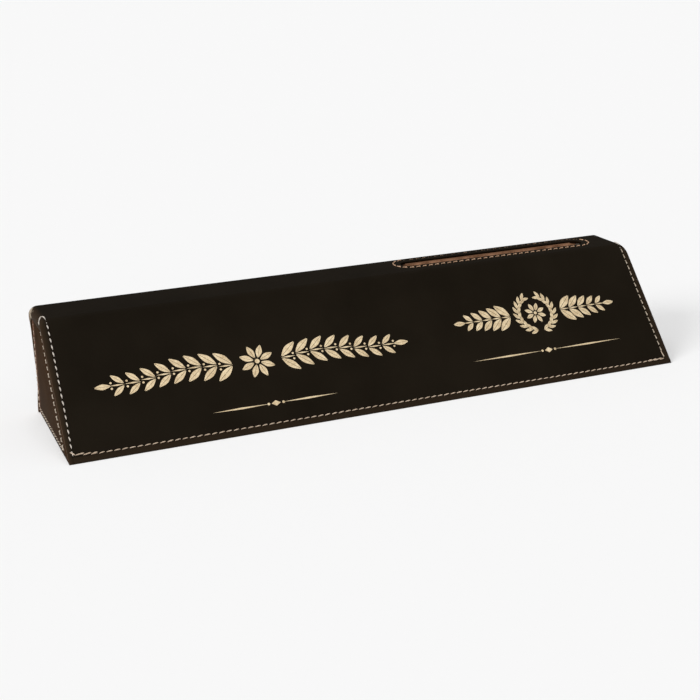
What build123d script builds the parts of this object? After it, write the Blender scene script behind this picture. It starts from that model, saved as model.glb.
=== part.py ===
# Desk name plate: a sewn leatherette wedge over board, with a lined slot in its top for business cards.
# Sizes are millimetres. X runs along the plate, the sloping face looks towards -Y and Z is up.
# The origin is on the desk, under the middle of the plate.
import os
from math import atan2, cos, degrees, hypot, pi, sin, tan

from build123d import *

os.makedirs("parts", exist_ok=True)

# The wedge: its length, and the sides of its upright-backed profile.
plate_length = 266.7
base_depth = 63.5
plate_height = 45.5
top_depth = 22.5

# Sheet goods that it is made of.
leather_thickness = 1.2
board_thickness = 2.0
pocket_card_thickness = 0.9
lining_thickness = 0.5

# Folds and rounded corners of the leatherette.
front_fold_inside_radius = 1.8
back_fold_inside_radius = 0.5
fold_relief = 0.4
toe_round_share = 0.4
end_corner_radius = 3.2
end_panel_setback = 0.5

# The slot for cards, and the pocket that hangs under it.
slot_length = 90.6
slot_width = 7.0
slot_end_gap = 15.7
slot_back_gap = 6.5
pocket_depth = 30.0

# Stitching: one stitch, and how far the rows keep from the edges they follow.
stitch_pitch = 2.95
stitch_length = 2.1
thread_width = 0.55
thread_height = 0.35
side_row_margin = 2.5
hem_row_margin = 3.1
row_top_gap = 2.0
slot_row_margin = 3.4
end_row_margin = 5.6
end_back_margin = 2.4
end_hem_margin = 2.2

# Places worked out from the sizes above.
half_length = plate_length / 2
front_y = -base_depth / 2
back_y = base_depth / 2
slope = atan2(plate_height, base_depth - top_depth)
slant_length = hypot(plate_height, base_depth - top_depth)
wall_thickness = leather_thickness + board_thickness
end_face_x = half_length - end_panel_setback
end_inside_x = end_face_x - leather_thickness
pocket_lid_z = plate_height - wall_thickness
pocket_floor_z = plate_height - pocket_depth
slot_centre_x = half_length - slot_end_gap - slot_length / 2
slot_y = back_y - slot_back_gap - slot_width / 2
pocket_front_y = slot_y - slot_width / 2 - lining_thickness - pocket_card_thickness
pocket_back_y = slot_y + slot_width / 2 + lining_thickness + pocket_card_thickness

# Working planes on the faces that carry stitches.
front_plane = Plane((0, front_y, 0), x_dir=(1, 0, 0), z_dir=(0, -sin(slope), cos(slope)))
back_plane = Plane((0, back_y, 0), x_dir=(-1, 0, 0), z_dir=(0, 1, 0))
top_plane = Plane.XY.offset(plate_height)


def section(inset, floor):
    """Corners of the wedge's profile, moved in by inset from its front, top and back, above floor."""
    front_shift = front_y + inset / sin(slope)
    lid = plate_height - inset
    return {
        "front_bottom": (front_shift + floor / tan(slope), floor),
        "front_top": (front_shift + lid / tan(slope), lid),
        "back_top": (back_y - inset, lid),
        "back_bottom": (back_y - inset, floor),
    }


def wedge_profile(inset, floor, front_radius, back_radius):
    """Profile of the wedge in Y and Z, with its two top corners rounded like folds."""
    with BuildSketch(Plane.YZ) as profile:
        with BuildLine():
            Polyline(*section(inset, floor).values(), close=True)
        make_face()
        fillet(profile.vertices().group_by(Axis.Y)[-1].sort_by(Axis.X)[0], radius=front_radius)
        fillet(profile.vertices().group_by(Axis.Y)[-1].sort_by(Axis.X)[-1], radius=back_radius)
    return profile.sketch


def quad(points):
    """Profile in Y and Z through the given corners."""
    with BuildSketch(Plane.YZ) as outline:
        with BuildLine():
            Polyline(*points, close=True)
        make_face()
    return outline.sketch


def end_envelope():
    """View from the front of the whole plate, with its two top corners rounded."""
    with BuildSketch(Plane.XZ) as outline:
        with BuildLine():
            Polyline(
                (-half_length, 0),
                (half_length, 0),
                (half_length, plate_height),
                (-half_length, plate_height),
                close=True,
            )
        make_face()
        fillet(outline.vertices().group_by(Axis.Y)[-1], radius=end_corner_radius)
    return outline.sketch


def straight_row(start, end):
    """Centre and angle of each stitch in a straight row, spread evenly between two points."""
    run = hypot(end[0] - start[0], end[1] - start[1])
    count = max(1, round(run / stitch_pitch))
    angle = degrees(atan2(end[1] - start[1], end[0] - start[0]))
    shares = [(number + 0.5) / count for number in range(count)]
    return [
        (start[0] + share * (end[0] - start[0]), start[1] + share * (end[1] - start[1]), angle)
        for share in shares
    ]


def rows(points):
    """Stitches along each straight run of a row that turns at the given points."""
    return [stitch for start, end in zip(points, points[1:]) for stitch in straight_row(start, end)]


def stitches(plane, places):
    """Sketch, on a plane, of every stitch of a row."""
    with BuildSketch(plane) as thread:
        for x, y, angle in places:
            with Locations(Location((x, y, 0), (0, 0, angle))):
                SlotOverall(stitch_length, thread_width)
    return thread.sketch


def block(low, high):
    """Rectangle on the plane of low's height, and the height that it is raised by."""
    with BuildSketch(Plane.XY.offset(low[2])) as outline:
        with Locations(((low[0] + high[0]) / 2, (low[1] + high[1]) / 2)):
            Rectangle(high[0] - low[0], high[1] - low[1])
    return outline.sketch, high[2] - low[2]


# Profiles that several pieces share.
leather_outside = wedge_profile(
    0, 0, front_fold_inside_radius + leather_thickness, back_fold_inside_radius + leather_thickness)
leather_inside = wedge_profile(leather_thickness, 0, front_fold_inside_radius, back_fold_inside_radius)
board_outside = wedge_profile(
    leather_thickness, 0, front_fold_inside_radius + fold_relief, back_fold_inside_radius + fold_relief)
board_corners = section(leather_thickness, leather_thickness)
inner_corners = section(wall_thickness, wall_thickness)
rounded_ends = end_envelope()

# The cover is one sheet of leatherette, folded over the front, the top and the back.
with BuildPart() as wrap_cover:
    extrude(leather_outside, amount=half_length, both=True)
    toe = wrap_cover.edges().filter_by(Axis.X).group_by(Axis.Z)[0].sort_by(Axis.Y)[0]
    fillet(toe, radius=leather_thickness * toe_round_share)
    extrude(leather_inside, amount=half_length, both=True, mode=Mode.SUBTRACT)
    extrude(rounded_ends, amount=base_depth, both=True, mode=Mode.INTERSECT)
    with BuildSketch(top_plane):
        with Locations((slot_centre_x, slot_y)):
            SlotOverall(slot_length, slot_width)
    extrude(amount=-leather_thickness, mode=Mode.SUBTRACT)
wrap_cover.part.label = "wrap_cover"
export_step(wrap_cover.part, "parts/wrap_cover.step")

# A flat leatherette panel closes each end, set a little inside the cover's cut edge.
for side, hand in ((-1, "left"), (1, "right")):
    with BuildPart() as end_panel:
        extrude(leather_inside.moved(Location((side * end_inside_x, 0, 0))), amount=side * leather_thickness)
        extrude(rounded_ends, amount=base_depth, both=True, mode=Mode.INTERSECT)
    end_panel.part.label = f"{hand}_end_panel"
    export_step(end_panel.part, f"parts/{hand}_end_panel.step")

# The base panel is the leatherette that the plate stands on.
with BuildPart() as base_panel:
    desk_corners = section(leather_thickness, 0)
    corners = [
        desk_corners["front_bottom"],
        board_corners["front_bottom"],
        board_corners["back_bottom"],
        desk_corners["back_bottom"],
    ]
    extrude(quad(corners), amount=end_inside_x, both=True)
base_panel.part.label = "base_panel"
export_step(base_panel.part, "parts/base_panel.step")

# Four boards with mitred long edges make the stiff inner case.
for name, first, second in (
    ("front_board", "front_bottom", "front_top"),
    ("back_board", "back_top", "back_bottom"),
    ("base_board", "back_bottom", "front_bottom"),
):
    with BuildPart() as board:
        corners = [board_corners[first], board_corners[second], inner_corners[second], inner_corners[first]]
        extrude(quad(corners), amount=end_inside_x, both=True)
        extrude(board_outside, amount=end_inside_x, both=True, mode=Mode.INTERSECT)
    board.part.label = name
    export_step(board.part, f"parts/{name}.step")

# The top board has a square-ended opening that the lining passes through.
with BuildPart() as top_board:
    corners = [
        board_corners["front_top"],
        board_corners["back_top"],
        inner_corners["back_top"],
        inner_corners["front_top"],
    ]
    extrude(quad(corners), amount=end_inside_x, both=True)
    extrude(board_outside, amount=end_inside_x, both=True, mode=Mode.INTERSECT)
    with BuildSketch(Plane.XY.offset(pocket_lid_z)):
        with Locations((slot_centre_x, slot_y)):
            Rectangle(slot_length, slot_width + 2 * lining_thickness)
    extrude(amount=board_thickness, mode=Mode.SUBTRACT)
top_board.part.label = "top_board"
export_step(top_board.part, "parts/top_board.step")

# A board inside each end holds the case square.
for side, hand in ((-1, "left"), (1, "right")):
    with BuildPart() as end_board:
        extrude(
            quad(inner_corners.values()).moved(Location((side * end_inside_x, 0, 0))),
            amount=-side * board_thickness,
        )
    end_board.part.label = f"{hand}_end_board"
    export_step(end_board.part, f"parts/{hand}_end_board.step")

# The card pocket: thin card walls glued together and hung under the top board.
pocket_left_x = slot_centre_x - slot_length / 2
pocket_right_x = slot_centre_x + slot_length / 2
pocket_outside_left_x = pocket_left_x - pocket_card_thickness
pocket_outside_right_x = pocket_right_x + pocket_card_thickness
lining_front_y = pocket_front_y + pocket_card_thickness
lining_back_y = pocket_back_y - pocket_card_thickness
leather_underside_z = plate_height - leather_thickness
pocket_pieces = {
    "pocket_front_wall": (
        (pocket_left_x, pocket_front_y, pocket_floor_z),
        (pocket_right_x, lining_front_y, pocket_lid_z),
    ),
    "pocket_back_wall": (
        (pocket_left_x, lining_back_y, pocket_floor_z),
        (pocket_right_x, pocket_back_y, pocket_lid_z),
    ),
    "pocket_left_wall": (
        (pocket_outside_left_x, pocket_front_y, pocket_floor_z),
        (pocket_left_x, pocket_back_y, pocket_lid_z),
    ),
    "pocket_right_wall": (
        (pocket_right_x, pocket_front_y, pocket_floor_z),
        (pocket_outside_right_x, pocket_back_y, pocket_lid_z),
    ),
    "pocket_floor": (
        (pocket_outside_left_x, pocket_front_y, pocket_floor_z - pocket_card_thickness),
        (pocket_outside_right_x, pocket_back_y, pocket_floor_z),
    ),
    "pocket_front_lining": (
        (pocket_left_x, lining_front_y, pocket_floor_z),
        (pocket_right_x, lining_front_y + lining_thickness, leather_underside_z),
    ),
    "pocket_back_lining": (
        (pocket_left_x, lining_back_y - lining_thickness, pocket_floor_z),
        (pocket_right_x, lining_back_y, leather_underside_z),
    ),
}
for name, (low, high) in pocket_pieces.items():
    with BuildPart() as pocket_piece:
        outline, rise = block(low, high)
        extrude(outline, amount=rise)
    pocket_piece.part.label = name
    export_step(pocket_piece.part, f"parts/{name}.step")

# Border thread on the sloping face: down one side, along the hem and up the other side.
with BuildPart() as front_thread:
    row_x = half_length - side_row_margin
    row_top = slant_length - row_top_gap
    border = [(-row_x, row_top), (-row_x, hem_row_margin), (row_x, hem_row_margin), (row_x, row_top)]
    extrude(stitches(front_plane, rows(border)), amount=thread_height)
front_thread.part.label = "front_thread"
export_step(front_thread.part, "parts/front_thread.step")

# Border thread on the back, laid out the same way.
with BuildPart() as back_thread:
    row_x = half_length - side_row_margin
    row_top = plate_height - end_corner_radius - row_top_gap
    border = [(-row_x, row_top), (-row_x, hem_row_margin), (row_x, hem_row_margin), (row_x, row_top)]
    extrude(stitches(back_plane, rows(border)), amount=thread_height)
back_thread.part.label = "back_thread"
export_step(back_thread.part, "parts/back_thread.step")

# Thread around the slot: two straight rows joined by half circles.
with BuildPart() as slot_thread:
    row_radius = slot_width / 2 + slot_row_margin
    straight = (slot_length - slot_width) / 2
    places = []
    for direction in (1, -1):
        places += straight_row(
            (slot_centre_x - direction * straight, slot_y - direction * row_radius),
            (slot_centre_x + direction * straight, slot_y - direction * row_radius),
        )
        count = round(pi * row_radius / stitch_pitch)
        for number in range(count):
            turn = pi * ((number + 0.5) / count - 0.5)
            places.append((
                slot_centre_x + direction * (straight + row_radius * cos(turn)),
                slot_y + direction * row_radius * sin(turn),
                degrees(turn) + 90,
            ))
    extrude(stitches(top_plane, places), amount=thread_height)
slot_thread.part.label = "slot_thread"
export_step(slot_thread.part, "parts/slot_thread.step")

# Thread on each end panel, inside its front, bottom and back edges.
for side, hand in ((-1, "left"), (1, "right")):
    with BuildPart() as end_thread:
        end_plane = Plane((side * end_face_x, 0, 0), x_dir=(0, side, 0), z_dir=(side, 0, 0))
        seam = section(end_row_margin, end_hem_margin)
        back_row_y = back_y - end_back_margin
        turns = [
            seam["front_top"],
            seam["front_bottom"],
            (back_row_y, end_hem_margin),
            (back_row_y, plate_height - end_row_margin),
        ]
        loop = [(side * y, z) for y, z in turns]
        extrude(stitches(end_plane, rows(loop)), amount=thread_height)
    end_thread.part.label = f"{hand}_end_thread"
    export_step(end_thread.part, f"parts/{hand}_end_thread.step")
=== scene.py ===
import random
from math import atan2, cos, hypot, pi, radians, sin, tan

import bmesh
import bpy
from mathutils import Matrix, Vector


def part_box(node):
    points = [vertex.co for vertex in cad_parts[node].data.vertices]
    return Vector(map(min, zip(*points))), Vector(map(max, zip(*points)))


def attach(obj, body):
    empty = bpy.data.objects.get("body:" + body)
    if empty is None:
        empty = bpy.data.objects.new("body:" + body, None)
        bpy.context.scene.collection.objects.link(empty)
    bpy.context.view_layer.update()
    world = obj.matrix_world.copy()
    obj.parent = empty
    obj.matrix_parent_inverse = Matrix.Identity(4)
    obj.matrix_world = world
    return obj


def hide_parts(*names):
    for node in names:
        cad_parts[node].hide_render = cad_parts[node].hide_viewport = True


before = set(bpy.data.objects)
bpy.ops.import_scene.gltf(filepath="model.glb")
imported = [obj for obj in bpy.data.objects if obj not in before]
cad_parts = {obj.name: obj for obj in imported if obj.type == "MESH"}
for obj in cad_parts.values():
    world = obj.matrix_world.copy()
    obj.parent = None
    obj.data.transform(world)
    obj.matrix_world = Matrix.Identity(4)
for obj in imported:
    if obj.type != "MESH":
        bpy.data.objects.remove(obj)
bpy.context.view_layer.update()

# Cover: one sheet of matte leatherette, folded over the front, the top and the back of the boards,
# rolled down over the ends of the top and sewn near its square-cut edges. The card slot has a soft lip.
# The left back edge wanders by half a millimetre, and the corner above it has pale flecks.
cover_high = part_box("wrap_cover")[1]
base_low, base_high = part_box("base_panel")
half_length = cover_high.x
plate_height = cover_high.z
back_y = cover_high.y
front_y = -back_y
sheet = base_high.z - base_low.z
top_depth = 0.0225
slope = atan2(plate_height, back_y - front_y - top_depth)
slant = hypot(plate_height, back_y - front_y - top_depth)
front_fold = 0.0030
back_fold = 0.0017
fold_steps = 7
end_roll = 0.0032
roll_steps = 6
toe = 0.0007
toe_in, toe_up, toe_thin, toe_end = 0.45, 0.18, 0.2, 1.6
face_shares = (0.35, 0.7)
side_row = 0.0025
hem_row = 0.0031
groove_half = 0.00045
groove_depth = 0.00013
support = 0.0006
fleck_depth, fleck_drop = 0.0100, 0.0060
fleck_from, fleck_to = 0.0010, 0.0022
fleck_most = 0.70
row_top_gap = 0.0020
front_top = slant - row_top_gap
side_drift = {
    -1: [(0.0, -0.00070), (0.1, -0.00057), (0.2, -0.00038), (0.3, -0.00017), (0.5, 0.0), (0.8, 0.00032),
         (1.0, 0.00034)],
    1: [(0.0, 0.00030), (0.6, 0.00030), (0.7, 0.00013), (1.0, 0.00013)],
}
heel_drift = [
    (0.0, -0.00060), (0.07, -0.00048), (0.13, -0.00025), (0.19, 0.0), (0.24, 0.00028), (0.30, 0.00040),
    (0.41, 0.00036), (0.48, 0.00016), (0.60, 0.00003), (0.70, 0.0), (0.81, -0.00015), (0.87, -0.00038),
    (0.93, -0.00052), (1.0, -0.00058),
]
heel_low, heel_high = 0.1, 0.9
heel_across, ear_across, heel_along = 0.0020, 0.0042, 0.0060
row_share = 0.8
row_tolerance = 1e-7


def new_piece(name, mesh_data, *materials):
    """Makes a mesh and its object from a bmesh, and gives it its materials."""
    mesh = bpy.data.meshes.new(name)
    mesh_data.to_mesh(mesh)
    mesh_data.free()
    piece = bpy.data.objects.new(name, mesh)
    bpy.context.scene.collection.objects.link(piece)
    for material in materials:
        mesh.materials.append(material)
    return piece


def drift_at(guide, share):
    """How far a hand-guided row strays at a share of its length, from a list of places."""
    share = min(1.0, max(0.0, share))
    for (start, low), (end, high) in zip(guide, guide[1:]):
        if share <= end:
            return low + (high - low) * (share - start) / (end - start)
    return guide[-1][1]


def front_point(climb, depth):
    """Y and Z of a point up the sloping face, below its surface by depth."""
    return (front_y + climb * cos(slope) + depth * sin(slope), climb * sin(slope) - depth * cos(slope))


def sheet_line(inset, lid, dip, groove):
    """Points along the folded sheet from its toe to its heel, under a top at height lid."""
    toe_inside = front_y + inset / sin(slope)
    points = [
        (toe_inside + toe, 0.0),
        (toe_inside + toe * toe_in + inset * toe_thin, toe * toe_up + inset * toe_thin),
    ]
    fold_climb = (lid - front_fold) / sin(slope) + front_fold / tan(slope)
    climbs = [
        toe * toe_end + inset, hem_row - groove_half, hem_row, hem_row + groove_half, hem_row + support * 2]
    for climb in (*climbs, *(fold_climb * share for share in face_shares), fold_climb - support):
        sunk = groove if climb == hem_row else 0.0
        points.append(front_point(climb, inset + dip + sunk))
    centre_y = front_y + front_fold / sin(slope) + (lid - front_fold) / tan(slope)
    for step in range(fold_steps + 1):
        turn = slope * (1 - step / fold_steps)
        reach = front_fold - inset
        points.append((centre_y - reach * sin(turn), lid - front_fold + reach * cos(turn)))
    points.append((back_y - fleck_depth, lid - inset))
    for step in range(fold_steps + 1):
        turn = pi / 2 * step / fold_steps
        reach = back_fold - inset
        points.append((back_y - back_fold + reach * sin(turn), lid - back_fold + reach * cos(turn)))
    back_rises = [lid * share for share, stray in reversed(heel_drift) if heel_low < share < heel_high]
    for rise in (lid - back_fold - support, *back_rises, *reversed(climbs[1:])):
        sunk = groove if rise == hem_row else 0.0
        points.append((back_y - inset - dip - sunk, rise))
    points.append((back_y - inset, 0.0))
    return points


roll_offsets = [end_roll * (1 - cos(pi / 2 * step / roll_steps)) for step in range(roll_steps + 1)]
seam_offsets = [side_row - groove_half, side_row, side_row + groove_half]
left_offsets = sorted(roll_offsets + seam_offsets + [end_roll + support])
slot_low, slot_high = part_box("pocket_back_lining")
slot_x = (slot_low.x + slot_high.x) / 2
slot_length = slot_high.x - slot_low.x
front_lining_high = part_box("pocket_front_lining")[1]
slot_y = (front_lining_high.y + slot_low.y) / 2
slot_half_width = (slot_low.y - front_lining_high.y) / 2
slot_straight = slot_length / 2 - slot_half_width
slot_row_gap, slot_margin = 0.0034, 0.006
slot_row = slot_half_width + slot_row_gap
slot_reach = slot_length / 2 + slot_margin
columns = [offset - half_length for offset in left_offsets]
columns += [slot_x - slot_reach, slot_x + slot_reach]
columns += [half_length - offset for offset in reversed(left_offsets)]


def column_line(x):
    """Both faces of the sheet at one place along the plate, as one list of points."""
    from_end = half_length - abs(x)
    lid = plate_height
    if from_end < end_roll:
        lid -= end_roll - (end_roll**2 - (end_roll - from_end) ** 2) ** 0.5
    dip = groove_depth if abs(from_end - side_row) < row_tolerance else 0.0
    side = 1 if x > 0 else -1
    near_row = min(1.0, from_end / (side_row - groove_half)) if from_end < side_row + end_roll else 0.0
    points = []
    for y, z in sheet_line(0.0, lid, dip, groove_depth) + sheet_line(sheet, lid, 0.0, 0.0):
        climb = (y - front_y) * cos(slope) + z * sin(slope)
        under = (y - front_y) * sin(slope) - z * cos(slope)
        on_face = under < sheet + groove_depth * 2 and climb < slant * row_share
        stray = drift_at(side_drift[side], (climb - hem_row) / (front_top - hem_row)) if on_face else 0.0
        stray *= near_row
        if side < 0:
            across = ear_across if z > plate_height - end_roll - back_fold else heel_across
            near_heel = max(0.0, 1 - from_end / across) * max(0.0, 1 - (back_y - y) / heel_along)
            stray += near_heel * drift_at(heel_drift, z / plate_height)
        points.append((x - side * stray, y, z))
    return points


cover_mesh = bmesh.new()
station = cover_mesh.verts.layers.int.new("station")
first_line = column_line(columns[0])
verts = []
for number, place in enumerate(first_line):
    vert = cover_mesh.verts.new(place)
    vert[station] = number
    verts.append(vert)
line_count = len(first_line) // 2
strip = [
    cover_mesh.faces.new((verts[i], verts[i + 1], verts[line_count + i + 1], verts[line_count + i]))
    for i in range(line_count - 1)
]
cut_edge = strip
for x in columns[1:]:
    line = column_line(x)
    grown = bmesh.ops.extrude_face_region(cover_mesh, geom=strip)["geom"]
    for vert in (item for item in grown if isinstance(item, bmesh.types.BMVert)):
        vert.co = line[vert[station]]
    if strip is not cut_edge:
        bmesh.ops.delete(cover_mesh, geom=strip, context="FACES_ONLY")
    strip = [item for item in grown if isinstance(item, bmesh.types.BMFace)]
skin_slot, raw_slot, copper_slot, shade_lip_slot, heel_slot = range(5)
heel_edge_depth, raw_edge_drop = sheet * 1.5, end_roll * 1.8
# The cut edge near the back is pale: along the back it is the pale raw edge, and round the top back corner
# the paleness is a painted highlight.
for face in cut_edge + strip:
    middle = face.calc_center_median()
    if middle.y > back_y - heel_edge_depth:
        face.material_index = heel_slot
    elif middle.z < plate_height - raw_edge_drop:
        face.material_index = raw_slot

# The slot's rim: rings from the flat top, down through the row's groove and the rounded lip.
bmesh.ops.recalc_face_normals(cover_mesh, faces=cover_mesh.faces)
near_slot, level, near_top = 0.008, 0.99, plate_height * 0.9
slot_middle = Vector((slot_x, slot_y))
over_slot = [
    face for face in cover_mesh.faces
    if abs(face.normal.z) > level
    and (face.calc_center_median().xy - slot_middle).length < near_slot
    and face.calc_center_median().z > near_top
]
bmesh.ops.delete(cover_mesh, geom=over_slot, context="FACES")
rims = [edge for edge in cover_mesh.edges if edge.is_boundary]
outer_rim = [edge for edge in rims if edge.verts[0].co.z > plate_height - sheet / 2]
inner_rim = [edge for edge in rims if edge.verts[0].co.z < plate_height - sheet / 2]
rim_half = groove_half * 0.9
lip_profile = [(0.5, 0.0), (0.22, 0.08), (0.06, 0.25), (0.0, 0.45), (0.0, 0.72), (0.0, 1.0)]
lip_rings = [(slot_row + rim_half, 0.0), (slot_row, groove_depth), (slot_row - groove_half, 0.0)]
lip_rings += [(slot_half_width + sheet * out, sheet * down) for out, down in lip_profile]
lip_rings.append((slot_row, sheet))
# The rounded lip gets a darker copy of the leatherette: painted shade in the mouth of the slot.
lip_materials = [skin_slot] * 4 + [shade_lip_slot] * 3 + [copper_slot, skin_slot]
ring_sides = 56


def place_ring(ring_verts, radius, depth):
    """Moves a ring of points to a half-round-ended outline around the slot."""
    for vert in ring_verts:
        centre = Vector((slot_x + (slot_straight if vert.co.x > slot_x else -slot_straight), slot_y))
        outward = (vert.co.xy - centre).normalized()
        vert.co = (*(centre + outward * radius), plate_height - depth)


ring_verts = bmesh.ops.create_circle(
    cover_mesh, segments=ring_sides, radius=lip_rings[0][0],
    matrix=Matrix.Translation((slot_x, slot_y, 0)) @ Matrix.Rotation(pi / ring_sides, 4, "Z"))["verts"]
for vert in ring_verts:
    vert.co.x += slot_straight if vert.co.x > slot_x else -slot_straight
place_ring(ring_verts, *lip_rings[0])
first_ring = list({edge for vert in ring_verts for edge in vert.link_edges})
ring = first_ring
for (radius, depth), lip_material in zip(lip_rings[1:], lip_materials):
    grown = bmesh.ops.extrude_edge_only(cover_mesh, edges=ring)["geom"]
    place_ring([item for item in grown if isinstance(item, bmesh.types.BMVert)], radius, depth)
    for face in (item for item in grown if isinstance(item, bmesh.types.BMFace)):
        # At the round ends the copper cut edge takes the dark lip colour too: painted shade where the ends
        # curve away.
        round_end = abs(face.calc_center_median().x - slot_x) > slot_straight
        face.material_index = shade_lip_slot if round_end and lip_material == copper_slot else lip_material
    ring = [item for item in grown if isinstance(item, bmesh.types.BMEdge)]
bmesh.ops.triangle_fill(cover_mesh, edges=outer_rim + first_ring, use_beauty=True)
bmesh.ops.triangle_fill(cover_mesh, edges=inner_rim + ring, use_beauty=True)
bmesh.ops.recalc_face_normals(cover_mesh, faces=cover_mesh.faces)
for face in cover_mesh.faces:
    face.smooth = True

# Two weights for the material: margin, browner outside the sewn rows, with painted light that grows towards
# the left edge; and pale flecks at the back left corner.
hem_tone = 0.31
left_edge_light_tone = 0.75
margin_and_left_light = cover_mesh.verts.layers.float.new("margin_and_left_light")
pale_flecks = cover_mesh.verts.layers.float.new("pale_flecks")
for vert in cover_mesh.verts:
    from_left = half_length + vert.co.x
    across = min(1.0, max(0.0, (fleck_to - from_left) / (fleck_to - fleck_from)))
    along = min(1.0, max(0.0, (vert.co.y - back_y + fleck_depth) / (fleck_depth - back_fold)))
    vert[pale_flecks] = fleck_most * across * along if vert.co.z > plate_height - fleck_drop else 0.0
    side = 1 if vert.co.x > 0 else -1
    climb = (vert.co.y - front_y) * cos(slope) + vert.co.z * sin(slope)
    row_in = side_row + drift_at(side_drift[side], (climb - hem_row) / (front_top - hem_row))
    from_row = row_in - (half_length - abs(vert.co.x))
    # On the left side the margin weight ramps up to the edge: painted light on the edge that faces the key
    # light.
    if side < 0 and from_row > 0:
        vert[margin_and_left_light] = left_edge_light_tone * from_row / row_in
    elif from_row > groove_half / 2:
        vert[margin_and_left_light] = hem_tone
    if climb < hem_row - groove_half / 2:
        vert[margin_and_left_light] = max(vert[margin_and_left_light], hem_tone)


def new_group(name, inputs, outputs):
    """An empty shader group with float inputs and the named outputs."""
    group = bpy.data.node_groups.new(name, "ShaderNodeTree")
    for label, value in inputs.items():
        socket = group.interface.new_socket(label, in_out="INPUT", socket_type="NodeSocketFloat")
        socket.default_value = value
    for label in outputs:
        group.interface.new_socket(label, in_out="OUTPUT", socket_type="NodeSocketFloat")
    return group, group.nodes.new("NodeGroupInput"), group.nodes.new("NodeGroupOutput")


def add_node(tree, kind, links=None, **values):
    """Adds a node, sets its properties and sockets, and links what feeds it."""
    node = tree.nodes.new(kind)
    for label, value in values.items():
        setattr(node, label, value)
    for socket, source in (links or {}).items():
        if isinstance(source, bpy.types.NodeSocket):
            tree.links.new(source, node.inputs[socket])
        else:
            node.inputs[socket].default_value = source
    return node


# Grain of the leatherette: shallow pebbles under half a millimetre, with a slow drift of tone.
grain_group, grain_in, grain_out = new_group("leather_grain", {"Pebbles": 2200.0}, ["Height", "Tone"])
grain_place = add_node(grain_group, "ShaderNodeTexCoord").outputs["Object"]
pebbles = add_node(
    grain_group, "ShaderNodeTexVoronoi",
    {"Vector": grain_place, "Scale": grain_in.outputs["Pebbles"], "Randomness": 0.9},
    feature="SMOOTH_F1")
fibre = add_node(grain_group, "ShaderNodeTexNoise", {"Vector": grain_place, "Scale": 5200.0, "Detail": 3.0})
drift = add_node(grain_group, "ShaderNodeTexNoise", {"Vector": grain_place, "Scale": 38.0, "Detail": 4.0})
rounded = add_node(
    grain_group, "ShaderNodeMath", {0: 1.0, 1: pebbles.outputs["Distance"]}, operation="SUBTRACT")
height = add_node(
    grain_group, "ShaderNodeMath", {0: fibre.outputs["Fac"], 1: 0.35, 2: rounded.outputs[0]},
    operation="MULTIPLY_ADD")
grain_group.links.new(height.outputs[0], grain_out.inputs["Height"])
grain_group.links.new(drift.outputs["Fac"], grain_out.inputs["Tone"])

# Pale flecks on the leatherette, about a millimetre wide, which close up where their weight is highest.
fleck_group, fleck_in, fleck_out = new_group("leather_pale_flecks", {"Paleness": 0.0}, ["Share"])
fleck_place = add_node(fleck_group, "ShaderNodeTexCoord").outputs["Object"]
flecks = add_node(fleck_group, "ShaderNodeTexNoise", {"Vector": fleck_place, "Scale": 850.0, "Detail": 3.0})
patchy = add_node(
    fleck_group, "ShaderNodeMath", {0: fleck_in.outputs["Paleness"], 1: flecks.outputs["Fac"]}, operation="ADD")
fleck_share = add_node(
    fleck_group, "ShaderNodeMapRange", {"Value": patchy.outputs[0], "From Min": 0.9, "From Max": 1.2})
fleck_group.links.new(fleck_share.outputs[0], fleck_out.inputs["Share"])


def new_material(name):
    """A material, with its node tree and its shader."""
    material = bpy.data.materials.new(name)
    material.use_nodes = True
    return material, material.node_tree, material.node_tree.nodes["Principled BSDF"]


def blend(tree, share, first, second):
    """Mixes two colours by a share; each is a fixed tone or another node's output."""
    node = add_node(tree, "ShaderNodeMix", {"Factor": share}, data_type="RGBA")
    for socket, colour in ((node.inputs[6], first), (node.inputs[7], second)):
        if isinstance(colour, bpy.types.NodeSocket):
            tree.links.new(colour, socket)
        else:
            socket.default_value = (*colour, 1)
    return node.outputs[2]


def leather_material(name, dark, light, shine, edge=None, fleck_tone=None):
    """Matte leatherette between two tones.

    An edge tone shows where the margin weight is set (browner margins, and painted light on the left edge),
    and a pale tone in flecks where the fleck weight is set.
    """
    material, tree, shader = new_material(name)
    grain = add_node(tree, "ShaderNodeGroup", node_tree=grain_group)
    spread = add_node(
        tree, "ShaderNodeMapRange", {"Value": grain.outputs["Tone"], "From Min": 0.32, "From Max": 0.68})
    tone = blend(tree, spread.outputs[0], dark, light)
    if edge:
        seam = add_node(tree, "ShaderNodeAttribute", attribute_name="margin_and_left_light")
        tone = blend(tree, seam.outputs["Fac"], tone, edge)
    if fleck_tone:
        paling = add_node(tree, "ShaderNodeAttribute", attribute_name="pale_flecks")
        paled = add_node(tree, "ShaderNodeGroup", {"Paleness": paling.outputs["Fac"]}, node_tree=fleck_group)
        tone = blend(tree, paled.outputs["Share"], tone, fleck_tone)
    gloss = add_node(tree, "ShaderNodeMapRange", {
        "Value": grain.outputs["Height"], "From Min": 0.4, "From Max": 1.3, "To Min": 0.72, "To Max": 0.58})
    bump = add_node(
        tree, "ShaderNodeBump", {"Height": grain.outputs["Height"], "Strength": 0.35, "Distance": 0.00006})
    tree.links.new(tone, shader.inputs["Base Color"])
    tree.links.new(gloss.outputs[0], shader.inputs["Roughness"])
    tree.links.new(bump.outputs["Normal"], shader.inputs["Normal"])
    shader.inputs["Specular IOR Level"].default_value = shine
    return material


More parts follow.
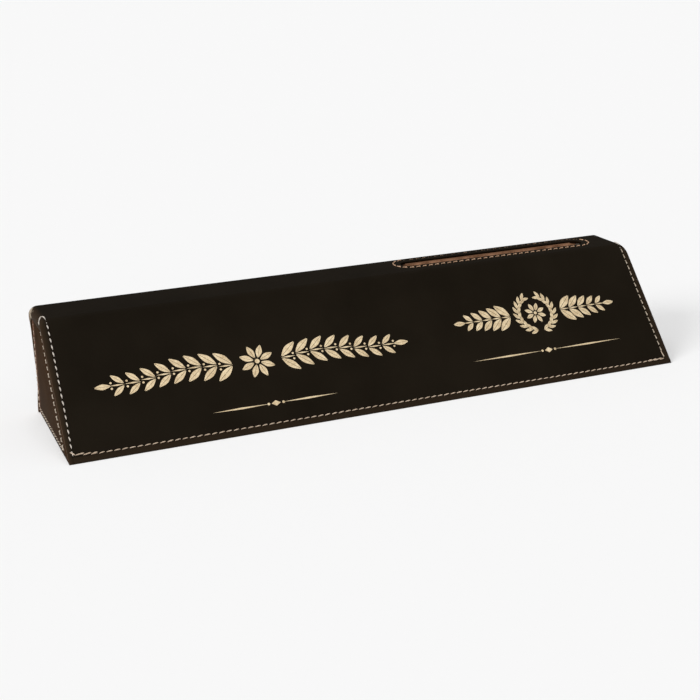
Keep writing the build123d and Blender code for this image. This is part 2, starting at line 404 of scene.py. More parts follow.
cover_leather = leather_material(
    "cover_leatherette", (0.0083, 0.0060, 0.0035), (0.0114, 0.0084, 0.0051), shine=0.025,
    edge=(0.0434, 0.0268, 0.0150), fleck_tone=(0.36, 0.30, 0.225))
raw_edge = leather_material("raw_leather_edge", (0.042, 0.023, 0.0125), (0.070, 0.041, 0.024), shine=0.02)
slot_edge = leather_material("slot_leather_edge", (0.25, 0.128, 0.070), (0.43, 0.230, 0.130), shine=0.05)
# Painted shade: a darker copy of the leatherette for the slot's lip.
painted_shade_lip = leather_material("painted_shade_slot_mouth", (0.0050, 0.0026, 0.0010), (0.0072, 0.0038, 0.0016), shine=0.01)
# Pale back cut edge, with a painted highlight round the top back corner.
back_edge_and_highlight = leather_material("pale_back_edge_painted_highlight", (0.14, 0.092, 0.065), (0.24, 0.168, 0.124), shine=0.02)
cover = new_piece("leatherette_cover", cover_mesh, cover_leather, raw_edge, slot_edge, painted_shade_lip, back_edge_and_highlight)
soften = cover.modifiers.new("edge_round", "BEVEL")
soften.width = 0.00006
soften.segments = 2
soften.limit_method = "ANGLE"
soften.angle_limit = radians(50)
even = cover.modifiers.new("even_shading", "WEIGHTED_NORMAL")
even.keep_sharp = True
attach(cover, "root")
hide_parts("wrap_cover")

# End panels: flat leatherette set just inside the cover's cut edges and sewn along three sides.
# The needle rows press shallow grooves into them and the back row leans; the middle stands a little
# proud, the foot flares out to lie flush, and the back edge is flecked paler.
end_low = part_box("left_end_panel")[0]
end_face = -end_low.x
end_toe_row = 0.0062
end_top_row = 0.0053
end_top_gap = 0.0050
end_back_row = 0.0024
end_back_lean = 0.0011
end_back_gap = 0.0034
end_hem = 0.0022
end_lap = 0.0008
end_lid = plate_height - end_roll + end_lap
end_puff = 0.00018
end_flare = 0.00045
end_fleck_reach = 0.0090
end_fleck_low = 0.8
end_fleck_share = {-1: 1.0, 1: 0.7}
cut_tolerance, groove_tolerance = 1e-8, 1e-6


def end_corner(inset, floor, lid):
    """Corners of the end panel in Y and Z, from the toe round to the heel."""
    shift = front_y + inset / sin(slope)
    return [
        (shift + floor / tan(slope), floor),
        (shift + lid / tan(slope), lid),
        (back_y - inset, lid),
        (back_y - inset, floor),
    ]


end_toe = end_corner(end_toe_row, end_hem, end_lid)[0]
end_top = end_corner(end_top_row, end_hem, plate_height - end_top_gap)[1]
end_rise = Vector((0, end_top[0] - end_toe[0], end_top[1] - end_toe[1])).normalized()
end_heel = (back_y - end_back_row, end_hem)
end_back_top = (back_y - end_back_row - end_back_lean, plate_height - end_back_gap)
end_lean = Vector((0, end_back_top[0] - end_heel[0], end_back_top[1] - end_heel[1])).normalized()
# Painted sheen: the ends are the same black leatherette as the cover; their lighter, browner base tone
# stands in for grazing sheen and the light from the left.
sheen_painted_end_leather = leather_material(
    "end_leatherette_painted_sheen", (0.0308, 0.0161, 0.0080), (0.0440, 0.0243, 0.0128), shine=0.01,
    fleck_tone=(0.170, 0.086, 0.058))
for hand, side in (("left", -1), ("right", 1)):
    panel_mesh = bmesh.new()
    outline = [panel_mesh.verts.new((side * end_face, y, z)) for y, z in end_corner(sheet, 0.0, end_lid)]
    panel_mesh.faces.new(outline)
    rows = (
        (Vector((0, end_rise.z, -end_rise.y)), Vector((0, *end_toe))),
        (Vector((0, 0, 1)), Vector((0, *end_heel))),
        (Vector((0, -end_lean.z, end_lean.y)), Vector((0, *end_heel))),
    )
    cuts = [
        (row_point + inward * offset, inward)
        for inward, row_point in rows
        for offset in (-groove_half, 0.0, groove_half, groove_half + support)
    ]
    cuts.append(((0, back_y - sheet - end_fleck_reach, 0), (0, 1, 0)))
    for point, normal in cuts:
        bmesh.ops.bisect_plane(
            panel_mesh, geom=panel_mesh.verts[:] + panel_mesh.edges[:] + panel_mesh.faces[:],
            dist=cut_tolerance, plane_co=point, plane_no=normal)
    pale_flecks = panel_mesh.verts.layers.float.new("pale_flecks")
    for vert in panel_mesh.verts:
        inside = min((vert.co - row_point).dot(inward) for inward, row_point in rows)
        vert.co.x += side * end_flare * (1 - vert.co.z / end_lid)
        if abs(inside) < groove_tolerance:
            vert.co.x -= side * groove_depth
        elif inside > groove_half + support / 2:
            vert.co.x += side * end_puff
        paling = end_fleck_share[side] * (end_fleck_low + (1 - end_fleck_low) * vert.co.z / end_lid)
        vert[pale_flecks] = paling * max(0.0, 1 - (back_y - sheet - vert.co.y) / end_fleck_reach)
    bmesh.ops.recalc_face_normals(panel_mesh, faces=panel_mesh.faces)
    for face in panel_mesh.faces:
        if face.normal.x * side < 0:
            face.normal_flip()
        face.smooth = True
    panel = new_piece(f"{hand}_end_leatherette_painted_sheen", panel_mesh, sheen_painted_end_leather)
    thick = panel.modifiers.new("sheet", "SOLIDIFY")
    thick.thickness = sheet
    thick.offset = -1.0
    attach(panel, "root")
    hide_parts(f"{hand}_end_panel")

# Base panel: the leatherette that the plate stands on, glued under the base board.
# It is the sheet that the cover's edges close on, so it keeps its shape from the solid.
base_leather = leather_material(
    "base_leatherette", (0.0072, 0.0060, 0.0042), (0.0105, 0.0088, 0.0064), shine=0.04)


def dress_solid(name, material):
    """Gives a solid that keeps its own shape the material it is made of."""
    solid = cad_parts[name]
    solid.data.materials.clear()
    solid.data.materials.append(material)


dress_solid("base_panel", base_leather)

# Boards: grey pressed board, cut with mitred edges and glued into a case that keeps the wedge stiff.
# They are covered all round, and show only at the cut opening of the top board.
cloud_size = 22.0
nap_group, nap_in, nap_out = new_group("fibre_nap", {"Scale": 1500.0, "Mottle": 0.5}, ["Height", "Tone"])
nap_place = add_node(nap_group, "ShaderNodeTexCoord").outputs["Object"]
speckle = add_node(
    nap_group, "ShaderNodeTexNoise",
    {"Vector": nap_place, "Scale": nap_in.outputs["Scale"], "Detail": 6.0, "Roughness": 0.65})
cloud_scale = add_node(
    nap_group, "ShaderNodeMath", {0: nap_in.outputs["Scale"], 1: cloud_size}, operation="DIVIDE")
cloud = add_node(
    nap_group, "ShaderNodeTexNoise", {"Vector": nap_place, "Scale": cloud_scale.outputs[0], "Detail": 2.0})
nap_tone = add_node(
    nap_group, "ShaderNodeMath",
    {0: cloud.outputs["Fac"], 1: nap_in.outputs["Mottle"], 2: speckle.outputs["Fac"]},
    operation="MULTIPLY_ADD")
nap_group.links.new(speckle.outputs["Fac"], nap_out.inputs["Height"])
nap_group.links.new(nap_tone.outputs[0], nap_out.inputs["Tone"])


def fibre_material(name, dark, light, scale, roughness, bump_height, mottle=0.5):
    """Pressed or napped fibre: two tones in a fine speckle, with a soft raised nap."""
    material, tree, shader = new_material(name)
    nap = add_node(tree, "ShaderNodeGroup", {"Scale": scale, "Mottle": mottle}, node_tree=nap_group)
    spread = add_node(
        tree, "ShaderNodeMapRange",
        {"Value": nap.outputs["Tone"], "From Min": 0.3 + mottle / 2, "From Max": 0.7 + mottle / 2})
    bump = add_node(
        tree, "ShaderNodeBump", {"Height": nap.outputs["Height"], "Strength": 0.5, "Distance": bump_height})
    tree.links.new(blend(tree, spread.outputs[0], dark, light), shader.inputs["Base Color"])
    tree.links.new(bump.outputs["Normal"], shader.inputs["Normal"])
    shader.inputs["Roughness"].default_value = roughness
    shader.inputs["Specular IOR Level"].default_value = 0.2
    return material


greyboard = fibre_material(
    "grey_board", (0.27, 0.25, 0.21), (0.46, 0.43, 0.37), scale=1500.0, roughness=0.9, bump_height=0.00005)
for name in ("front", "top", "back", "base", "left_end", "right_end"):
    dress_solid(f"{name}_board", greyboard)

# Card pocket: thin brown card walls and a floor, glued together and hung under the top board.
# Copper-brown suede lining covers the two long walls and shows through the slot.
pocket_card = fibre_material(
    "pocket_card", (0.16, 0.085, 0.05), (0.25, 0.14, 0.085), scale=1800.0, roughness=0.85,
    bump_height=0.00004)
suede = fibre_material(
    "pocket_suede", (0.205, 0.098, 0.048), (0.52, 0.280, 0.162), scale=2600.0, roughness=0.95,
    bump_height=0.00008, mottle=1.6)
for name in ("front_wall", "back_wall", "left_wall", "right_wall", "floor"):
    dress_solid(f"pocket_{name}", pocket_card)
for name in ("front_lining", "back_lining"):
    dress_solid(f"pocket_{name}", suede)

# Thread: two-ply cream sewing thread, in lock stitches about 3 mm apart.
# Each stitch comes up out of one needle hole, lies on the leatherette and goes down the next. The rows
# are guided by hand, so they stray a little, and each is drawn a bit longer or narrower. The thread is one
# cream colour; its other tones are painted light and shade: a paler copy on the left row and the corner
# loops, and darker copies on the right, end and slot rows.
stitch_pitch = 0.00295
stitch_length = 0.0021
thread_radius = 0.00028
stitch_crown = 0.00022
stitch_sink = 0.00030
stitch_steep = 2.6
stitch_slant = radians(7)
ply_flat = 0.62
stitch_steps = 8
thread_sides = 8
stitch_twist = pi * 1.15
hand_turn, hand_lift = 0.05, 0.00003
hand_least, hand_most = 0.94, 1.04
stitch_mesh = bmesh.new()
bmesh.ops.create_circle(stitch_mesh, cap_ends=True, segments=thread_sides, radius=thread_radius)
bmesh.ops.scale(stitch_mesh, vec=(1, ply_flat, 1), verts=stitch_mesh.verts)
bmesh.ops.rotate(
    stitch_mesh, cent=(0, 0, 0), matrix=Matrix.Rotation(pi / 2, 3, "Y"), verts=stitch_mesh.verts)
bmesh.ops.translate(stitch_mesh, vec=(-stitch_length / 2, 0, -stitch_sink), verts=stitch_mesh.verts)
tip = stitch_mesh.faces[:]
for step in range(1, stitch_steps + 1):
    grown = bmesh.ops.extrude_face_region(stitch_mesh, geom=tip)["geom"]
    ring = [item for item in grown if isinstance(item, bmesh.types.BMVert)]
    if step > 1:
        bmesh.ops.delete(stitch_mesh, geom=tip, context="FACES_ONLY")
    tip = [item for item in grown if isinstance(item, bmesh.types.BMFace)]
    before, now = (min(1, stitch_steep * sin(pi * (part / stitch_steps))) for part in (step - 1, step))
    rise = (stitch_crown + stitch_sink) * (now - before)
    centre = sum((vert.co for vert in ring), Vector()) / len(ring)
    turn = Matrix.Rotation(stitch_twist / stitch_steps, 3, "X")
    bmesh.ops.rotate(stitch_mesh, cent=centre, matrix=turn, verts=ring)
    bmesh.ops.translate(stitch_mesh, vec=(stitch_length / stitch_steps, 0, rise), verts=ring)
bmesh.ops.recalc_face_normals(stitch_mesh, faces=stitch_mesh.faces)
for face in stitch_mesh.faces:
    face.smooth = True
stitch = bpy.data.meshes.new("one_stitch")
stitch_mesh.to_mesh(stitch)
stitch_count = len(stitch_mesh.verts)
stitch_mesh.free()

# Fuzz of the thread: fine fibres, and a tone that changes slowly along the thread.
fuzz_group, fuzz_in, fuzz_out = new_group("thread_fuzz", {"Fibres": 6000.0}, ["Height", "Tone"])
fuzz_place = add_node(fuzz_group, "ShaderNodeTexCoord").outputs["Object"]
fuzz = add_node(
    fuzz_group, "ShaderNodeTexNoise",
    {"Vector": fuzz_place, "Scale": fuzz_in.outputs["Fibres"], "Detail": 3.0})
lot = add_node(fuzz_group, "ShaderNodeTexNoise", {"Vector": fuzz_place, "Scale": 260.0, "Detail": 2.0})
fuzz_both = add_node(
    fuzz_group, "ShaderNodeMath", {0: lot.outputs["Fac"], 1: 0.6, 2: fuzz.outputs["Fac"]},
    operation="MULTIPLY_ADD")
fuzz_spread = add_node(
    fuzz_group, "ShaderNodeMapRange", {"Value": fuzz_both.outputs[0], "From Min": 0.55, "From Max": 1.0})
fuzz_group.links.new(fuzz.outputs["Fac"], fuzz_out.inputs["Height"])
fuzz_group.links.new(fuzz_spread.outputs[0], fuzz_out.inputs["Tone"])


def thread_material(name, dark, light):
    """Matte spun thread between two tones, with a fine fuzz."""
    material, tree, shader = new_material(name)
    spun = add_node(tree, "ShaderNodeGroup", node_tree=fuzz_group)
    bump = add_node(
        tree, "ShaderNodeBump", {"Height": spun.outputs["Height"], "Strength": 0.4, "Distance": 0.00003})
    tree.links.new(blend(tree, spun.outputs["Tone"], dark, light), shader.inputs["Base Color"])
    tree.links.new(bump.outputs["Normal"], shader.inputs["Normal"])
    shader.inputs["Roughness"].default_value = 0.75
    shader.inputs["Specular IOR Level"].default_value = 0.25
    return material


cream_thread = thread_material("cream_thread", (0.380, 0.275, 0.187), (0.622, 0.494, 0.379))
# Painted light: a paler copy of the cream thread for the left row and the corner loops, lit from the left.
painted_lit_thread = thread_material("painted_lit_thread", (0.415, 0.356, 0.302), (0.67, 0.610, 0.547))
shaded_thread = thread_material("shaded_thread", (0.340, 0.266, 0.188), (0.557, 0.478, 0.381))
# Painted shade: a darker, duller copy of the cream thread for the end panel rows.
end_thread = thread_material("painted_shade_end_thread", (0.36, 0.285, 0.215), (0.58, 0.50, 0.41))
# Painted shade: a darker tan copy of the cream thread for the slot rows, which keeps the far row dim.
slot_thread = thread_material("painted_shade_slot_thread", (0.408, 0.238, 0.142), (0.648, 0.422, 0.275))


def straight_row(start, end, sink=0.0, guide=None):
    """Place, angle and depth of each stitch between two points, in a row that strays by its guide."""
    run = hypot(end[0] - start[0], end[1] - start[1])
    count = round(run / stitch_pitch)
    angle = atan2(end[1] - start[1], end[0] - start[0])
    places = []
    for number in range(count):
        share = (number + 0.5) / count
        stray = drift_at(guide, share) if guide else 0.0
        places.append((
            start[0] + share * (end[0] - start[0]) - stray * sin(angle),
            start[1] + share * (end[1] - start[1]) + stray * cos(angle), angle, sink))
    return places


def rows_through(points):
    """Stitches along each run of a row that turns at the given points."""
    return [place for start, end in zip(points, points[1:]) for place in straight_row(start, end)]


def sew(name, node, face_matrix, places, seed, material, long=1.0, wide=1.0):
    """Lays a row of stitches on a face of the plate, each drawn long or wide and a little out of true."""
    hand = random.Random(seed)
    pull = Matrix.Diagonal((long, wide, 1, 1))
    thread_mesh = bmesh.new()
    for x, y, angle, sink in places:
        thread_mesh.from_mesh(stitch)
        thread_mesh.verts.ensure_lookup_table()
        turn = angle + stitch_slant + hand.uniform(-hand_turn, hand_turn)
        size = hand.uniform(hand_least, hand_most)
        spot = Matrix.Translation((x, y, hand.uniform(-hand_lift, hand_lift) - sink))
        bmesh.ops.transform(
            thread_mesh,
            matrix=face_matrix @ spot @ Matrix.Rotation(turn, 4, "Z") @ Matrix.Scale(size, 4) @ pull,
            verts=thread_mesh.verts[-stitch_count:])
    thread = new_piece(name, thread_mesh, material)
    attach(thread, "root")
    if node:
        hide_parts(node)


front_face = Matrix((
    (1, 0, 0, 0),
    (0, cos(slope), -sin(slope), front_y),
    (0, sin(slope), cos(slope), 0),
    (0, 0, 0, 1),
))
back_face = Matrix(((-1, 0, 0, 0), (0, 0, 1, back_y), (0, 1, 0, 0), (0, 0, 0, 1)))
top_face = Matrix.Translation((0, 0, plate_height))
row_x = half_length - side_row
back_top = plate_height - end_roll - row_top_gap
hem_drift = [
    (0.0, 0.00095), (0.012, 0.00050), (0.025, 0.00012), (0.04, 0.0), (0.61, 0.0), (0.72, -0.00018),
    (0.84, -0.00033), (1.0, -0.00036),
]
hem_draw, left_draw, right_draw = (1.12, 0.88), (0.93, 1.0), (1.0, 0.88)
left_drift = [(1 - share, stray) for share, stray in reversed(side_drift[-1])]
left_places = straight_row((-row_x, front_top), (-row_x, hem_row), guide=left_drift)
hem_places = straight_row((-row_x, hem_row), (row_x, hem_row), guide=hem_drift)
right_places = straight_row((row_x, hem_row), (row_x, front_top), guide=side_drift[1])
back_border = [(-row_x, back_top), (-row_x, hem_row), (row_x, hem_row), (row_x, back_top)]
sew("front_border_stitches", "front_thread", front_face, hem_places, 11, cream_thread, *hem_draw)
sew("left_border_stitches", None, front_face, left_places, 22, painted_lit_thread, *left_draw)
sew("right_border_stitches", None, front_face, right_places, 23, shaded_thread, *right_draw)
tack_rise, tack_up, tack_in = 0.00014, 0.00022, 0.0002
tack_steps, tack_climb, tack_share = (0.9, 1.8, 2.6), 0.8, 0.04
corner_in, corner_up, corner_turn = 0.0001, 0.0013, radians(-50)
tack_places = []
for side in (-1, 1):
    for number in tack_steps:
        x = side * (row_x - number * stitch_pitch)
        stray = drift_at(hem_drift, (x + row_x) / (2 * row_x))
        tack_places.append((x, hem_row + tack_up + stray, 0.0, 0.0))
corner_x = row_x - drift_at(side_drift[-1], 0.0)
tack_places.append((corner_in - corner_x, hem_row + corner_up, corner_turn, 0.0))
stray = drift_at(side_drift[1], tack_share) + tack_in
tack_places.append((row_x - stray, hem_row + tack_climb * stitch_pitch, pi / 2, 0.0))
tack_face = front_face @ Matrix.Translation((0, 0, tack_rise))
sew("hem_tack_stitches", None, tack_face, tack_places, 21, cream_thread)
sew("back_border_stitches", "back_thread", back_face, rows_through(back_border), 12, cream_thread)

near_sink = 0.00006
far_sink = 0.00050
sink_from, sink_over = 0.35, 0.6
slot_places = []
for way in (1, -1):
    slot_places += straight_row(
        (slot_x - way * slot_straight, slot_y - way * slot_row),
        (slot_x + way * slot_straight, slot_y - way * slot_row),
        near_sink if way > 0 else far_sink)
    arc_count = round(pi * slot_row / stitch_pitch)
    for number in range(arc_count):
        turn = pi * ((number + 0.5) / arc_count - 0.5)
        deep = min(1.0, max(0.0, (turn - sink_from) / sink_over)) if way > 0 else 0.0
        slot_places.append((
            slot_x + way * (slot_straight + slot_row * cos(turn)),
            slot_y + way * slot_row * sin(turn),
            turn + pi / 2 + (0 if way > 0 else pi),
            near_sink + (far_sink - near_sink) * deep))
sew("slot_stitches", "slot_thread", top_face, slot_places, 13, slot_thread)

end_sink = 0.00050
end_sink_reach = 0.026
for hand, side in (("left", -1), ("right", 1)):
    end_matrix = Matrix((
        (0, -side * end_flare / end_lid, side, side * (end_face + end_flare)),
        (side, 0, 0, 0),
        (0, 1, 0, 0),
        (0, 0, 0, 1),
    ))
    end_turns = (end_top, end_toe, end_heel, end_back_top)
    end_places = [
        (x, y, angle, end_sink * max(0.0, 1 - (plate_height - y) / end_sink_reach))
        for x, y, angle, sink in rows_through([(side * y, z) for y, z in end_turns])
    ]
    sew(f"{hand}_end_stitches", f"{hand}_end_thread", end_matrix, end_places, 14 + side, end_thread)

# Loops over the top corners: the border thread is carried over each corner of the face.
# It comes out at the top of the side row, crosses the rolled edge and goes down into the end panel.
loop_steps = 26
loop_twist = 0.35
fold_mid_y = front_y + front_fold / sin(slope) + (plate_height - front_fold) / tan(slope)
loop_path = [
    Vector((row_x, *front_point(front_top - 0.0006, 0.0004))),
    Vector((row_x, *front_point(front_top + 0.0008, -0.0002))),
    Vector((row_x + 0.0001, fold_mid_y + 0.0004, plate_height + 0.0001)),
    Vector((row_x + 0.0002, fold_mid_y + 0.0027, plate_height + 0.0001)),
    Vector((row_x + 0.0009, fold_mid_y + 0.0034, plate_height - 0.0002)),
    Vector((row_x + 0.0018, fold_mid_y + 0.0016, plate_height - 0.0008)),
    Vector((half_length - 0.0002, fold_mid_y + 0.0002, plate_height - 0.0014)),
    Vector((half_length - 0.0002, fold_mid_y - 0.0002, plate_height - 0.0021)),
    Vector((end_face - 0.0001, fold_mid_y - 0.0003, plate_height - 0.0027)),
]
loop_shares = (1.0, 1.0, 0.6, 0.2, 0, 0, 0, 0, 0)


def smooth_path(points, count):
    """Points spaced along a smooth curve through the given ones."""
    guide = bpy.data.curves.new("guide", "CURVE")
    guide.dimensions = "3D"
    guide.resolution_u = count
    spline = guide.splines.new("NURBS")
    spline.points.add(len(points) - 1)
    for point, place in zip(spline.points, points):
        point.co = (*place, 1)
    spline.order_u = 4
    spline.use_endpoint_u = True
    holder = bpy.data.objects.new("guide", guide)
    line = bpy.data.meshes.new_from_object(holder)
    found = [vert.co.copy() for vert in line.vertices]
    bpy.data.objects.remove(holder)
    bpy.data.meshes.remove(line)
    return found[:: max(1, len(found) // count)]


for hand, side in (("left", -1), ("right", 1)):
    stray = drift_at(side_drift[side], 1.0)
    strayed = [point - Vector((stray * share, 0, 0)) for point, share in zip(loop_path, loop_shares)]
    path = [Vector((side * point.x, point.y, point.z)) for point in smooth_path(strayed, loop_steps)]
    loop_mesh = bmesh.new()
    bmesh.ops.create_circle(loop_mesh, cap_ends=True, segments=thread_sides, radius=thread_radius)
    bmesh.ops.scale(loop_mesh, vec=(1, ply_flat, 1), verts=loop_mesh.verts)
    aim = (path[1] - path[0]).to_track_quat("Z", "Y").to_matrix().to_4x4()
    bmesh.ops.transform(loop_mesh, matrix=Matrix.Translation(path[0]) @ aim, verts=loop_mesh.verts)
    tip = loop_mesh.faces[:]
    for number in range(1, len(path)):
        grown = bmesh.ops.extrude_face_region(loop_mesh, geom=tip)["geom"]
        ring = [item for item in grown if isinstance(item, bmesh.types.BMVert)]
        if number > 1:
            bmesh.ops.delete(loop_mesh, geom=tip, context="FACES_ONLY")
        tip = [item for item in grown if isinstance(item, bmesh.types.BMFace)]
        ahead = path[min(number + 1, len(path) - 1)] - path[max(number - 1, 0)]
        behind = path[number] - path[max(number - 2, 0)]
        bend = behind.rotation_difference(ahead).to_matrix()
        twist = Matrix.Rotation(loop_twist, 3, ahead)
        bmesh.ops.rotate(loop_mesh, cent=path[number - 1], matrix=twist @ bend, verts=ring)
        bmesh.ops.translate(loop_mesh, vec=path[number] - path[number - 1], verts=ring)
    bmesh.ops.recalc_face_normals(loop_mesh, faces=loop_mesh.faces)
    for face in loop_mesh.faces:
        face.smooth = True
    # The loops take the paler copy of the thread, which is painted light.
    loop = new_piece(f"{hand}_corner_loop", loop_mesh, painted_lit_thread)
    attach(loop, "root")

# Engraving: the dark skin of the leatherette is burnt away, so that its pale gold layer shows.
# It is a plain ornament: laurel sprays about a rosette, a small wreath, and tapered rules.
engraving_lift = 0.00003
engraving_depth = 0.00012
vein = 0.045
leaf_sides, dot_sides = 22, 20
leaf_point, leaf_thin = 1.6, 0.55


def template(shape):
    """Keeps a small flat shape as a mesh that can be stamped many times."""
    kept = bpy.data.meshes.new("engraved_shape")
    shape.to_mesh(kept)
    shape.free()
    return kept


leaf_shape = bmesh.new()
for half in (1, -1):
    outline = bmesh.ops.create_circle(leaf_shape, cap_ends=True, segments=leaf_sides, radius=1.0)["verts"]
    for vert in outline:
        vert.co.y *= 1.0 - abs(vert.co.x) ** leaf_point * leaf_thin
    faces = list({face for vert in outline for face in vert.link_faces})
    edges = list({edge for vert in outline for edge in vert.link_edges})
    bmesh.ops.bisect_plane(
        leaf_shape, geom=outline + edges + faces, plane_co=(0, half * vein, 0), plane_no=(0, half, 0),
        clear_inner=True, dist=1e-6)
leaf = template(leaf_shape)
dot_shape = bmesh.new()
bmesh.ops.create_circle(dot_shape, cap_ends=True, segments=dot_sides, radius=1.0)
dot = template(dot_shape)
lozenge_shape = bmesh.new()
bmesh.ops.create_circle(lozenge_shape, cap_ends=True, segments=4, radius=1.0)
lozenge = template(lozenge_shape)


def stamp(mesh_data, shape, x, y, turn, long, wide):
    """Puts one flat shape on the face, turned and sized."""
    mesh_data.from_mesh(shape)
    mesh_data.verts.ensure_lookup_table()
    size = Matrix.Diagonal((long, wide, 1, 1))
    bmesh.ops.transform(
        mesh_data, matrix=Matrix.Translation((x, y, 0)) @ Matrix.Rotation(turn, 4, "Z") @ size,
        verts=mesh_data.verts[-len(shape.vertices):])


def leaf_at(mesh_data, x, y, turn, long, wide):
    """A leaf that grows from a point in the given direction."""
    stamp(mesh_data, leaf, x + cos(turn) * long, y + sin(turn) * long, turn, long, wide)


def rosette(mesh_data, x, y, petals, inner, long, wide):
    """Petals around a dot."""
    heart = inner * 0.62
    for number in range(petals):
        turn = 2 * pi * (number + 0.5) / petals
        leaf_at(mesh_data, x + inner * cos(turn), y + inner * sin(turn), turn, long, wide)
    stamp(mesh_data, dot, x, y, 0, heart, heart)


def rule(mesh_data, x, y, half_long):
    """A tapered line with a lozenge and two dots at its middle."""
    gap, thick, dot_out, dot_size, gem_long, gem_wide = 0.0022, 0.00038, 0.0031, 0.00055, 0.0019, 0.0012
    for side in (-1, 1):
        stamp(mesh_data, lozenge, x + side * (half_long * 0.5 + gap), y, 0, half_long * 0.5, thick)
        stamp(mesh_data, dot, x + side * dot_out, y, 0, dot_size, dot_size)
    stamp(mesh_data, lozenge, x, y, 0, gem_long, gem_wide)


gold, gold_tree, gold_shader = new_material("engraved_gold")
gold_place = add_node(gold_tree, "ShaderNodeTexCoord").outputs["Object"]
gold_fleck = add_node(
    gold_tree, "ShaderNodeTexNoise",
    {"Vector": gold_place, "Scale": 1700.0, "Detail": 5.0, "Roughness": 0.7})
gold_patch = add_node(
    gold_tree, "ShaderNodeTexNoise", {"Vector": gold_place, "Scale": 420.0, "Detail": 3.0})
gold_both = add_node(
    gold_tree, "ShaderNodeMath", {0: gold_patch.outputs["Fac"], 1: 0.7, 2: gold_fleck.outputs["Fac"]},
    operation="MULTIPLY_ADD")
gold_spread = add_node(
    gold_tree, "ShaderNodeMapRange", {"Value": gold_both.outputs[0], "From Min": 0.62, "From Max": 1.08})
gold_tone = blend(gold_tree, gold_spread.outputs[0], (0.55, 0.40, 0.22), (0.95, 0.78, 0.51))
gold_bump = add_node(
    gold_tree, "ShaderNodeBump", {"Height": gold_both.outputs[0], "Strength": 0.35, "Distance": 0.00008})
gold_tree.links.new(gold_tone, gold_shader.inputs["Base Color"])
gold_tree.links.new(gold_bump.outputs["Normal"], gold_shader.inputs["Normal"])
gold_shader.inputs["Metallic"].default_value = 0.25
gold_shader.inputs["Roughness"].default_value = 0.5


def engrave(name, mesh_data):
    """Lays a finished drawing on the sloping face as a thin gold layer."""
    bmesh.ops.transform(
        mesh_data, matrix=front_face @ Matrix.Translation((0, 0, engraving_lift)), verts=mesh_data.verts)
    piece = new_piece(name, mesh_data, gold)
    layer = piece.modifiers.new("layer", "SOLIDIFY")
    layer.thickness = engraving_depth
    layer.offset = -1.0
    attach(piece, "root")


# Two sprays of leaf pairs grow left and right from a rosette, over a rule.
spray_x, spray_y = -0.052, 0.0305
spray_gap, spray_step, spray_pairs = 0.0105, 0.0063, 8
spray_rise, spray_waves = 0.0013, 1.6
spray_leaf, spray_taper, spray_wide = 0.0044, 0.0014, 0.36
spray_open, spray_apart, spray_tip = radians(40), 0.0005, 0.0052
berry_out, berry_apart, berry_size = 0.0050, 0.0012, 0.00045
stem_out, stem_long, stem_wide = 0.0027, 0.0031, 0.00034
sprays = bmesh.new()
rosette(sprays, spray_x, spray_y, petals=8, inner=0.0016, long=0.0029, wide=0.0013)
for side in (-1, 1):
    heading = 0 if side > 0 else pi
    for number in range(spray_pairs):
        share = number / (spray_pairs - 1)
        x = spray_x + side * (spray_gap + spray_step * number)
        y = spray_y + spray_rise * sin(pi * share * spray_waves)
        long = spray_leaf - spray_taper * share
        for way in (-1, 1):
            turn = heading + side * way * spray_open
            leaf_at(sprays, x, y + way * spray_apart, turn, long, long * spray_wide)
            stamp(sprays, dot, x + side * berry_out, y + way * berry_apart, 0, berry_size, berry_size)
        stamp(sprays, lozenge, x + side * stem_out, y, 0, stem_long, stem_wide)
    leaf_at(sprays, x + side * spray_tip, y, heading, long=0.0032, wide=0.0012)
rule(sprays, x=-0.049, y=0.0115, half_long=0.024)
engrave("engraved_sprays", sprays)

# A small round wreath about a rosette, with a wing of leaf pairs on each side, over a longer rule.
wreath_x, wreath_y = 0.0767, 0.0335
wreath_radius, wreath_leaves = 0.0084, 9
wreath_start, wreath_step, wreath_open = 10, 17, radians(27)
wing_pairs, wing_gap, wing_step = 5, 0.0126, 0.0045
wing_leaf, wing_taper, wing_wide = 0.0041, 0.00042, 0.42
wing_open, wing_apart, wing_tip = radians(43), 0.0004, 0.0036
wing_stem_out, wing_stem_long = 0.0020, 0.0024
wreath = bmesh.new()
rosette(wreath, wreath_x, wreath_y, petals=8, inner=0.0012, long=0.0019, wide=0.0009)
for side in (-1, 1):
    for number in range(wreath_leaves):
        around = -pi / 2 + side * radians(wreath_start + wreath_step * number)
        tangent = around + side * pi / 2
        for way in (-1, 1):
            leaf_at(
                wreath, wreath_x + wreath_radius * cos(around), wreath_y + wreath_radius * sin(around),
                tangent + side * way * wreath_open, long=0.0019, wide=0.00072)
    heading = 0 if side > 0 else pi
    for number in range(wing_pairs):
        x = wreath_x + side * (wing_gap + wing_step * number)
        long = wing_leaf - wing_taper * number
        for way in (-1, 1):
            turn = heading + side * way * wing_open
            leaf_at(wreath, x, wreath_y + way * wing_apart, turn, long, long * wing_wide)
        stamp(wreath, lozenge, x + side * wing_stem_out, wreath_y, 0, wing_stem_long, stem_wide)
    leaf_at(wreath, x + side * wing_tip, wreath_y, heading, long=0.0027, wide=0.0011)
rule(wreath, wreath_x, y=0.0155, half_long=0.034)
engrave("engraved_wreath", wreath)

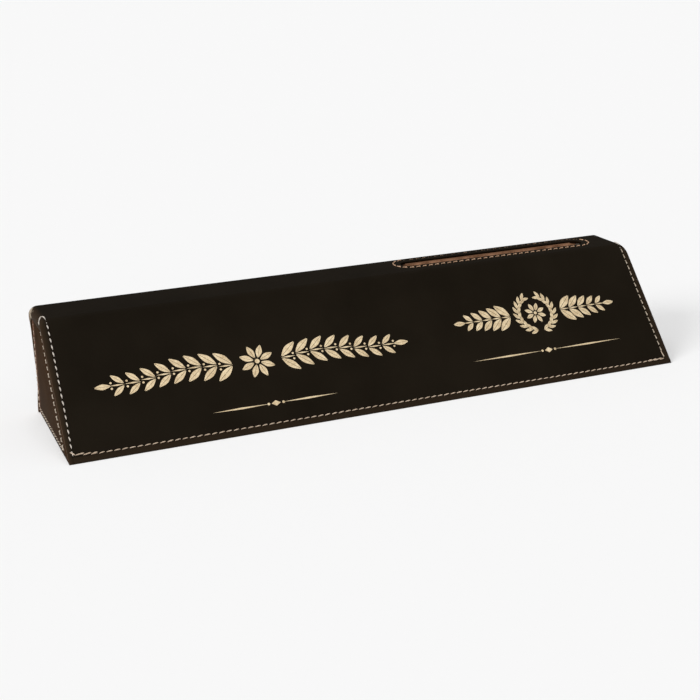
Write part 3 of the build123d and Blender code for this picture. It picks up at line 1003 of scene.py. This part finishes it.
# Studio: a wide pale floor, three broad soft suns and a dim even sky.
# The camera stands where the photographer stood, left of the plate and a little above it.
floor_mesh = bmesh.new()
bmesh.ops.create_grid(floor_mesh, x_segments=1, y_segments=1, size=6.0)
floor_material, _, floor_shader = new_material("pale_floor")
floor_shader.inputs["Base Color"].default_value = (0.92, 0.92, 0.92, 1)
floor_shader.inputs["Roughness"].default_value = 0.9
floor_shader.inputs["Specular IOR Level"].default_value = 0.0
floor = new_piece("studio_floor", floor_mesh, floor_material)

world = bpy.data.worlds.new("dim_sky")
bpy.context.scene.world = world
world.use_nodes = True
world.node_tree.nodes["Background"].inputs["Color"].default_value = (1, 1, 1, 1)
world.node_tree.nodes["Background"].inputs["Strength"].default_value = 0.24


def soft_sun(name, towards, strength, spread):
    """A broad soft light that shines from the direction it is given."""
    lamp = bpy.data.lights.new(name, "SUN")
    lamp.energy = strength
    lamp.angle = radians(spread)
    holder = bpy.data.objects.new(name, lamp)
    holder.rotation_euler = Vector(towards).to_track_quat("Z", "Y").to_euler()
    bpy.context.scene.collection.objects.link(holder)


soft_sun("left_key", towards=(-0.85, -0.20, 0.49), strength=1.25, spread=30)
soft_sun("front_fill", towards=(-0.30, -0.75, 0.59), strength=1.25, spread=35)
soft_sun("top_light", towards=(-0.10, 0.25, 0.96), strength=1.15, spread=40)

eye = Vector((-0.207487, -0.496114, 0.192439))
yaw, pitch, roll = radians(21.989), radians(18.113), radians(-1.435)
focal_pixels, frame_pixels = 1334.17, 700
camera_data = bpy.data.cameras.new("photo_camera")
camera_data.sensor_width = 36.0
camera_data.lens = camera_data.sensor_width * focal_pixels / frame_pixels
camera_data.clip_start, camera_data.clip_end = 0.01, 50
camera = bpy.data.objects.new("photo_camera", camera_data)
camera.matrix_world = (
    Matrix.Translation(eye) @ Matrix.Rotation(-yaw, 4, "Z")
    @ Matrix.Rotation(pi / 2 - pitch, 4, "X") @ Matrix.Rotation(roll, 4, "Z"))
bpy.context.scene.collection.objects.link(camera)
bpy.context.scene.camera = camera
bpy.context.scene.view_settings.view_transform = "Standard"
